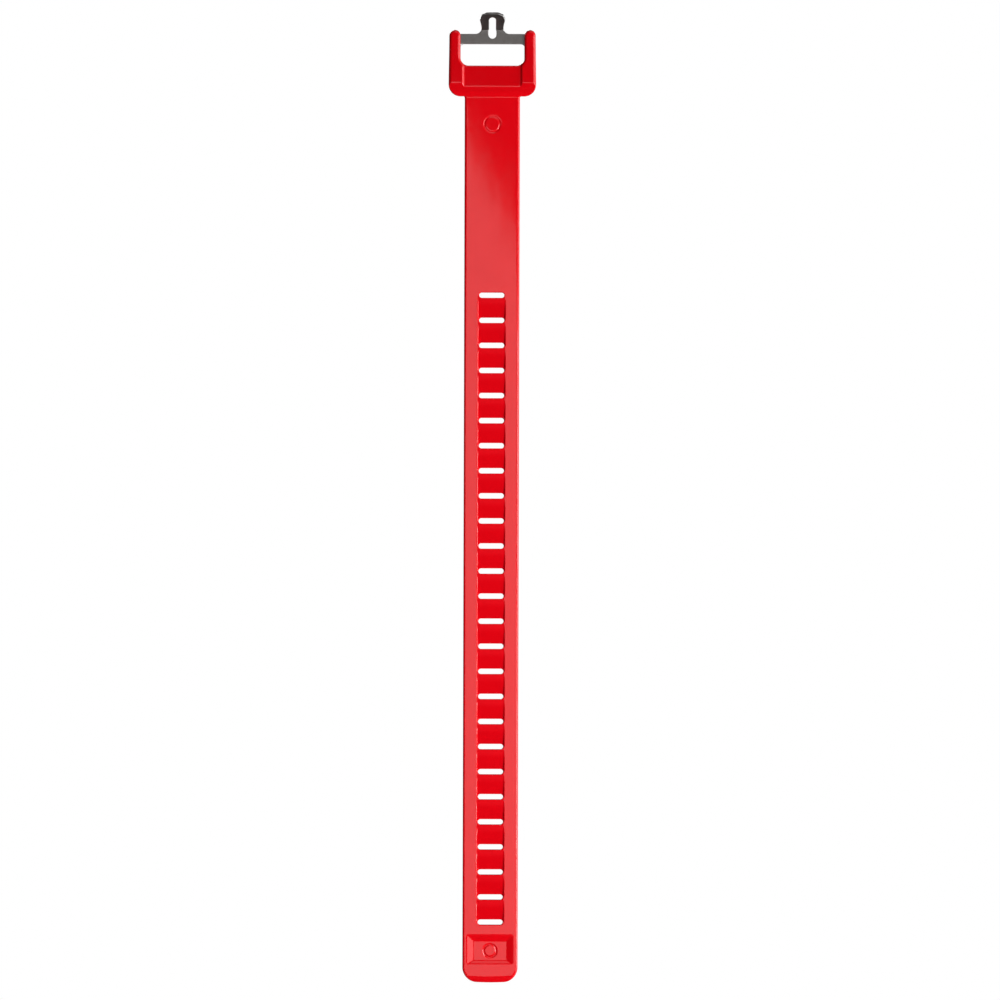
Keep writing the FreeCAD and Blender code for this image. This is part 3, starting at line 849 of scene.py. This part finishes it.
@dataclass
class Moulding:
    """The whole elastomer moulding, meshed in pieces that each hold one hinge line."""

    head: ForkHead
    band: Band
    joints: list[dict]
    nodes: list[str]
    neck_fillet: float = 0.7
    margin: float = 0.4
    room: float = 0.6
    past_cut: float = 1.6
    fine_grid: float = 0.32
    head_deep_grid: float = 0.27
    band_deep_grid: float = 0.25
    gloss: ElastomerFinish = field(default_factory=lambda: ElastomerFinish("moulded_gloss"))
    satin: ElastomerFinish = field(
        default_factory=lambda: ElastomerFinish(
            "rung_satin",
            colour=(0.66, 0.0004, 0.0050),
            roughness=(0.42, 0.52),
            specular=0.02,
        )
    )

    @classmethod
    def from_frame(cls) -> "Moulding":
        """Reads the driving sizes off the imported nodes.

        Returns:
            The moulding, not yet meshed.
        """
        head_low, head_high = (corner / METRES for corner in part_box("fork_head"))
        plain_low, plain_high = (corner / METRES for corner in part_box("plain_length_2"))
        tail_low, _ = (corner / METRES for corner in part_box("tail_length"))
        joints = frame["joints"]
        heights = [joint["pos_m"][2] / METRES for joint in joints]
        slotted = [joint for joint in joints if joint["child"].startswith("slotted")]
        start = slotted[0]["pos_m"][2] / METRES
        pitch = start - slotted[1]["pos_m"][2] / METRES
        head = ForkHead(
            half_width=head_high.x,
            rise=head_high.z,
            foot=heights[0] + 8.0,
            half_depth=head_high.y,
            band_front=plain_low.y,
        )
        band = Band(
            half_width=plain_high.x,
            front=plain_low.y,
            back=plain_high.y,
            tail_end=tail_low.z,
            first_slot=start - pitch / 2.0,
            pitch=pitch,
            slots=len(slotted),
            pad_top=heights[-1] - 2.0,
            mark_up=heights[0] - 6.75,
        )
        groups = frame["record"]["behaviour"]["bodies"]
        order = [joints[0]["parent"]] + [joint["child"] for joint in joints]
        return cls(head, band, joints, [groups[body][0] for body in order])

    def distance(self, x: np.ndarray, y: np.ndarray, z: np.ndarray) -> np.ndarray:
        """How far a point is outside the elastomer.

        Args:
            x: The points' places across the band.
            y: Their places through its thickness.
            z: Their heights.

        Returns:
            The distances.
        """
        band = self.band.distance(x, y, z)
        if np.max(z) < self.head.foot - 6.0:
            return band
        into_bar = z - (self.head.foot + self.head.slope_height)
        whole = joined(common(band, into_bar, 0.5), self.head.distance(x, y, z), self.neck_fillet)
        return np.maximum(whole, y - self.band.back)

    def across_planes(self) -> np.ndarray:
        """The grid's planes across the band.

        They are close together at its edges, its slots' ends and its rungs' sides.

        Returns:
            The planes' places.
        """
        band = self.band
        ends = (band.slot_half_width + band.rung_half_width) / 2.0 - 0.5
        spots = []
        for side in (1.0, -1.0):
            spots += [(side * ends, 1.1), (side * (band.half_width - 0.3), 0.9)]
        return Mesher.planes(-band.half_width - self.room, band.half_width + self.room, 0.7, 0.2, spots)

    def deep_planes(self) -> np.ndarray:
        """The grid's planes through the band's thickness."""
        return Mesher.evenly(self.band.front - 0.45, self.band.back + 0.4, self.band_deep_grid)

    def up_planes(self) -> np.ndarray:
        """The grid's planes along the band.

        They are close together at the slots' edges and on the thumb pad.

        Returns:
            The planes' heights.
        """
        band = self.band
        spots = []
        for n in range(band.slots):
            middle = band.first_slot - n * band.pitch
            spots += [(middle + band.slot_half_height, 0.5), (middle - band.slot_half_height, 0.5)]
            spots += [(middle, 0.2)]
        planes = Mesher.planes(band.tail_end - self.room, band.first_slot + 3.0, 0.9, 0.22, sorted(spots))
        pad = Mesher.evenly(band.tail_end - self.room, band.pad_top + 1.2, 0.35)
        plain = Mesher.evenly(band.first_slot + 3.9, self.head.rise + self.room, 0.9)
        return np.concatenate([pad, planes[planes > pad[-1] + 0.2], plain])

    def cuts(self) -> list[float | None]:
        """The heights where one piece gives way to the next, from the head down; None is a free end."""
        heights = [joint["pos_m"][2] / METRES for joint in self.joints]
        return [None, *[(a + b) / 2.0 for a, b in zip(heights, heights[1:])], None]

    def names(self) -> list[str]:
        """The pieces' names.

        Returns:
            The names, from the head down.
        """
        slotted = sum(node.startswith("slotted") for node in self.nodes)
        plain = len(self.joints) - slotted - 2
        names = ["head_and_neck"] + [f"plain_band_{n + 1}" for n in range(plain)]
        return names + [f"slotted_band_{n + 1}" for n in range(slotted)] + ["tail_and_pad"]

    def mesher(self, low: float | None, high: float | None) -> Mesher:
        """The grid that one piece is meshed on.

        Args:
            low: The height of the piece's lower cut, or None at the tail.
            high: The height of its upper cut, or None at the head.

        Returns:
            A mesher over that stretch.
        """
        if high is None:
            reach = self.head.half_width + self.room
            across = Mesher.evenly(-reach, reach, self.fine_grid)
            deep = Mesher.evenly(-self.head.half_depth - 0.5, self.head.half_depth + 0.5, self.head_deep_grid)
            up = Mesher.evenly(low - self.past_cut, self.head.rise + self.room, self.fine_grid)
            return Mesher(self.distance, across, deep, up)
        if low is not None and high > self.band.mark_up - self.band.mark_radius:
            reach = self.band.half_width + self.room
            across = Mesher.evenly(-reach, reach, self.fine_grid)
            up = Mesher.evenly(low - self.past_cut, high + self.past_cut, self.fine_grid)
            return Mesher(self.distance, across, self.deep_planes(), up)
        up = self.up_planes()
        bottom = self.band.tail_end - 1.0 if low is None else low - 2.5
        kept = up[(up > bottom) & (up < high + 2.5)]
        across = self.across_planes()
        if low is None:
            across = Mesher.planes(across[0], -across[0], 0.33, 0.2, [(across[0], 1.6), (-across[0], 1.6)])
        return Mesher(self.distance, across, self.deep_planes(), kept)

    def build(self) -> list[bpy.types.Object]:
        """Meshes every piece, dresses it, and hides the imported nodes that it stands in for.

        Returns:
            The pieces, from the head down.
        """
        cuts = self.cuts()
        pieces = []
        for n, (name, joint) in enumerate(zip(self.names(), self.joints)):
            high, low = cuts[n], cuts[n + 1]
            made = self.mesher(low, high).piece(name)
            cut_ends(made, low, high)
            keep_rest_places(made)
            self.dress(made)
            self.bend(made, joint, low, high)
            last = n == len(self.joints) - 1
            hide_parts(*self.nodes[n : n + 2] if last else self.nodes[n : n + 1])
            LOG.info("%s: %d vertices", name, len(made.data.vertices))
            pieces.append(made)
        return pieces

    def bend(self, made: bpy.types.Object, joint: dict, low: float | None, high: float | None) -> None:
        """Bakes the piece's placement into its mesh; the piece does not bend.

        Args:
            made: The piece.
            joint: Its hinge, from the frame; not used.
            low: The height of its lower cut, or None at the tail; not used.
            high: The height of its upper cut, or None at the head; not used.
        """
        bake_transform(made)

    def dress(self, made: bpy.types.Object) -> None:
        """Gives the piece its gloss, and its sunk rungs their satin.

        Args:
            made: The piece.
        """
        for finish in (self.gloss, self.satin):
            known = bpy.data.materials.get(finish.name)
            made.data.materials.append(known or finish.material())
        for face in made.data.polygons:
            face.material_index = int(self.band.on_rung(face.center, face.normal))


# ---------------------------------------------------------------- the tongue plate


@dataclass
class TonguePlate:
    """The stamped steel plate: a bar with a wing in each arm, and a slotted tongue bent towards the face."""

    reach: float
    half_thick: float = 0.75
    bar_height: float = 5.3
    wing_start: float = 16.9
    wing_drop: float = 2.2
    wing_fillet: float = 2.0
    bend_foot: float = 6.8
    bend_radius: float = 1.75
    bend_angle: float = math.radians(40.0)
    leg: float = 9.8
    neck_half: float = 5.75
    head_half: float = 6.75
    tip_half: float = 3.5
    shoulder_down: float = 3.9
    catch_down: float = 7.2
    gusset: float = 3.1
    slot_half_below: float = 1.95
    slot_half_above: float = 1.78
    slot_foot: float = 2.8
    slot_margin: float = 2.4
    burr: float = 0.2
    grid: float = 0.25
    deep_grid: float = 0.21
    finish: SteelFinish = field(default_factory=SteelFinish)

    @property
    def tip(self) -> float:
        """How far the flat plate runs from its lower edge to the tongue's tip."""
        return self.bend_foot + self.bend_radius * self.bend_angle + self.leg

    def outline(self, across: np.ndarray, along: np.ndarray) -> np.ndarray:
        """How far a point of the flat plate is outside its outline.

        Args:
            across: The points' places across the plate.
            along: Their places along it from its lower edge.

        Returns:
            The distances.
        """
        wide = np.abs(across)
        bar = np.maximum(wide - self.reach, np.abs(along - self.bar_height / 2.0) - self.bar_height / 2.0)
        wing_low = -self.wing_drop - along
        wing = np.maximum(np.maximum(self.wing_start - wide, wide - self.reach), wing_low)
        wing = np.maximum(wing, along - self.bar_height)
        stem = common(wide - self.neck_half, along - self.tip + self.slot_margin / 2.0, 0.5)
        tongue = joined(joined(bar, stem, self.gusset), self.catch(wide, along), 1.2)
        plate = joined(np.maximum(tongue, -along), wing, self.wing_fillet)
        beside = wide > self.neck_half + self.gusset + 2.0
        return np.maximum(plate, np.where(beside, along - self.bar_height, -self.bar_height))

    def catch(self, wide: np.ndarray, along: np.ndarray) -> np.ndarray:
        """How far a point is outside the tongue's wider end, with its sloping shoulders and undercuts.

        Args:
            wide: The points' distances from the plate's middle line.
            along: Their places along it from its lower edge.

        Returns:
            The distances.
        """
        down = self.tip - along
        drop = self.head_half - self.tip_half
        slant = math.hypot(drop, self.shoulder_down)
        shoulder = ((wide - self.tip_half) * self.shoulder_down - down * drop) / slant
        lead = self.catch_down - self.shoulder_down
        step = self.head_half - self.neck_half + 0.4
        under = ((wide - self.head_half) * lead + (down - self.shoulder_down) * step) / math.hypot(step, lead)
        end = common(common(shoulder, -down, 0.7), wide - self.head_half, 0.5)
        return common(end, under, 0.6)

    def opening(self, across: np.ndarray, along: np.ndarray) -> np.ndarray:
        """How far a point is outside the tongue's slot, which is a little wider below the bend.

        Args:
            across: The points' places across the plate.
            along: Their places along it from its lower edge.

        Returns:
            The distances.
        """
        top = self.tip - self.slot_margin
        bend = self.bend_foot + self.bend_radius * self.bend_angle / 2.0
        below_middle = (self.slot_foot + bend + 0.8) / 2.0
        below = stadium(along - below_middle, across, below_middle - self.slot_foot, self.slot_half_below)
        above_middle = (top + self.slot_foot + 0.6) / 2.0
        above = stadium(along - above_middle, across, top - above_middle, self.slot_half_above)
        return joined(below, above, 0.6)

    def distance(self, x: np.ndarray, y: np.ndarray, z: np.ndarray) -> np.ndarray:
        """How far a point is outside the plate while it is still flat."""
        flat = less(self.outline(x, z), self.opening(x, z), 0.1)
        return common(flat, np.abs(y) - self.half_thick, self.burr)

    def bent(self, place: np.ndarray) -> np.ndarray:
        """Carries points of the flat plate round the bend.

        Args:
            place: Points of the flat plate, in metres.

        Returns:
            Where they lie on the bent plate, in metres.
        """
        across, thick, along = (place / METRES).T
        turn = np.clip((along - self.bend_foot) / self.bend_radius, 0.0, self.bend_angle)
        past = np.maximum(along - self.bend_foot - self.bend_radius * self.bend_angle, 0.0)
        arm = self.bend_radius + thick
        lowered = np.minimum(along, self.bend_foot)
        curved = np.where(turn > 0.0, arm * np.cos(turn) - self.bend_radius, thick)
        y = curved - past * math.sin(self.bend_angle)
        z = lowered + np.where(turn > 0.0, arm * np.sin(turn), 0.0) + past * math.cos(self.bend_angle)
        return np.stack([across, y, z], axis=1) * METRES

    def build(self) -> bpy.types.Object:
        """Meshes the flat plate, bends it and fixes it in the head.

        Returns:
            The plate.
        """
        across = Mesher.evenly(-self.reach - 0.5, self.reach + 0.5, self.grid)
        deep = Mesher.evenly(-self.half_thick - 0.45, self.half_thick + 0.3, self.deep_grid)
        up = Mesher.evenly(-self.wing_drop - 0.5, self.tip + 0.5, self.grid)
        made = Mesher(self.distance, across, deep, up).piece("bent_tongue_plate")
        cut_ends(made, None, None)
        flat = np.empty(len(made.data.vertices) * 3, np.float32)
        made.data.vertices.foreach_get("co", flat)
        made.data.vertices.foreach_set("co", self.bent(flat.reshape(-1, 3).astype(float)).ravel())
        made.data.update()
        keep_rest_places(made)
        made.data.materials.append(self.finish.material())
        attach(made, "head")
        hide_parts("tongue_plate")
        LOG.info("%s: %d vertices", made.name, len(made.data.vertices))
        return made


# ---------------------------------------------------------------- the studio


@dataclass(frozen=True)
class Card:
    """A flat soft light that the camera doesn't see."""

    name: str
    place: tuple[float, float, float]
    size: tuple[float, float]
    brightness: float
    aim: tuple[float, float, float] = (0.0, 0.0, -0.24)
    roll: float = 0.0
    warmth: tuple[float, float, float] = (1.0, 1.0, 1.0)

    def build(self) -> bpy.types.Object:
        """Hangs the light and turns it towards what it aims at.

        Returns:
            The light.
        """
        lamp = bpy.data.lights.new(self.name, "AREA")
        lamp.shape = "RECTANGLE"
        lamp.size, lamp.size_y = self.size
        lamp.energy = self.brightness * math.pi * self.size[0] * self.size[1]
        lamp.color = self.warmth
        made = bpy.data.objects.new(self.name, lamp)
        bpy.context.scene.collection.objects.link(made)
        made.location = self.place
        way = Vector(self.aim) - Vector(self.place)
        facing = way.to_track_quat("-Z", "Y")
        made.rotation_euler = (facing.to_matrix() @ Euler((0.0, 0.0, self.roll)).to_matrix()).to_euler()
        made.visible_camera = False
        return made


@dataclass
class Studio:
    """A pale floor, a white surround and soft lights: bright from the right and above, dark from the left."""

    floor_level: float = -0.75
    floor_radius: float = 1.5
    surround: float = 0.03
    right_glow: float = 0.9
    cards: tuple[Card, ...] = (
        Card("front_card", (-0.180, -3.0, -0.430), (0.9, 1.17), 1.45, aim=(-0.180, 0.0, -0.430), roll=0.517),
        Card("right_wall", (1.6, -0.3, -0.3), (0.8, 1.4), 4.0, aim=(0.0, 0.0, -0.3)),
        Card("right_softbox", (1.25, -1.75, -0.45), (1.1, 1.5), 2.2, aim=(0.0, 0.0, -0.4)),
        Card("side_glow", (0.50, -0.50, -0.36), (0.25, 0.5), 9.0, aim=(0.0, 0.0, -0.35)),
        Card("top_softbox", (0.25, -1.5, 1.55), (1.5, 1.2), 1.0),
        Card("rear_fill", (-0.9, 2.2, 1.2), (1.6, 1.4), 6.0),
    )

    def build(self) -> None:
        """Lays the floor, lights the surround and hangs the lights."""
        self.lay_floor()
        self.light_surround()
        for card in self.cards:
            card.build()
        bpy.context.scene.view_settings.view_transform = "Standard"

    def lay_floor(self) -> None:
        """A plain round floor, well below the hanging strap."""
        mesh = bpy.data.meshes.new("floor")
        shape = bmesh.new()
        bmesh.ops.create_circle(shape, cap_ends=True, segments=96, radius=self.floor_radius)
        shape.to_mesh(mesh)
        shape.free()
        floor = bpy.data.objects.new("floor", mesh)
        floor.location.z = self.floor_level
        bpy.context.scene.collection.objects.link(floor)
        paint = bpy.data.materials.new("pale_floor")
        paint.use_nodes = True
        shader = paint.node_tree.nodes["Principled BSDF"]
        shader.inputs["Base Color"].default_value = (0.82, 0.82, 0.81, 1.0)
        shader.inputs["Roughness"].default_value = 0.9
        mesh.materials.append(paint)
        floor.visible_glossy = False

    def light_surround(self) -> None:
        """White where the camera looks straight at it, and otherwise dim, with a glow from the right."""
        world = bpy.data.worlds.new("surround")
        bpy.context.scene.world = world
        world.use_nodes = True
        nodes, links = world.node_tree.nodes, world.node_tree.links
        nodes.clear()
        direction = nodes.new("ShaderNodeTexCoord")
        split = nodes.new("ShaderNodeSeparateXYZ")
        links.new(direction.outputs["Generated"], split.inputs[0])
        glow = nodes.new("ShaderNodeMapRange")
        glow.interpolation_type = "SMOOTHSTEP"
        for name, number in zip(
            ("From Min", "From Max", "To Min", "To Max"),
            (0.35, 1.0, self.surround, self.right_glow),
        ):
            glow.inputs[name].default_value = number
        links.new(split.outputs["X"], glow.inputs["Value"])
        dim = nodes.new("ShaderNodeBackground")
        links.new(glow.outputs["Result"], dim.inputs["Strength"])
        white = nodes.new("ShaderNodeBackground")
        seen = nodes.new("ShaderNodeLightPath")
        both = nodes.new("ShaderNodeMixShader")
        out = nodes.new("ShaderNodeOutputWorld")
        for background in (dim, white):
            background.inputs["Color"].default_value = (1.0, 1.0, 1.0, 1.0)
        links.new(seen.outputs["Is Camera Ray"], both.inputs["Fac"])
        links.new(dim.outputs["Background"], both.inputs[1])
        links.new(white.outputs["Background"], both.inputs[2])
        links.new(both.outputs["Shader"], out.inputs["Surface"])


@dataclass(frozen=True)
class Viewpoint:
    """The camera: square to the strap's face, level with the middle of its length."""

    lens: float = 135.0
    sensor: float = 36.0
    frame_width: float = 0.5232
    across: float = 0.0046
    up: float = -0.2385
    lean: float = math.radians(0.16)

    def build(self) -> bpy.types.Object:
        """Places the camera and makes it the scene's own.

        Returns:
            The camera.
        """
        eye = bpy.data.cameras.new("camera")
        eye.lens = self.lens
        eye.sensor_width = self.sensor
        eye.clip_start = 0.05
        eye.clip_end = 50.0
        made = bpy.data.objects.new("camera", eye)
        bpy.context.scene.collection.objects.link(made)
        made.location = (self.across, -self.frame_width * self.lens / self.sensor, self.up)
        made.rotation_euler = (math.pi / 2.0, -self.lean, 0.0)
        bpy.context.scene.camera = made
        return made


def main() -> None:
    """Builds the strap, the studio and the camera in order."""
    logging.basicConfig(level=logging.INFO, format="%(name)s: %(message)s")
    pieces = Moulding.from_frame().build()
    TonguePlate(reach=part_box("tongue_plate")[1].x / METRES).build()
    LOG.info("moulding: %d pieces", len(pieces))
    Studio().build()
    Viewpoint().build()


if __name__ == "__main__":
    main()
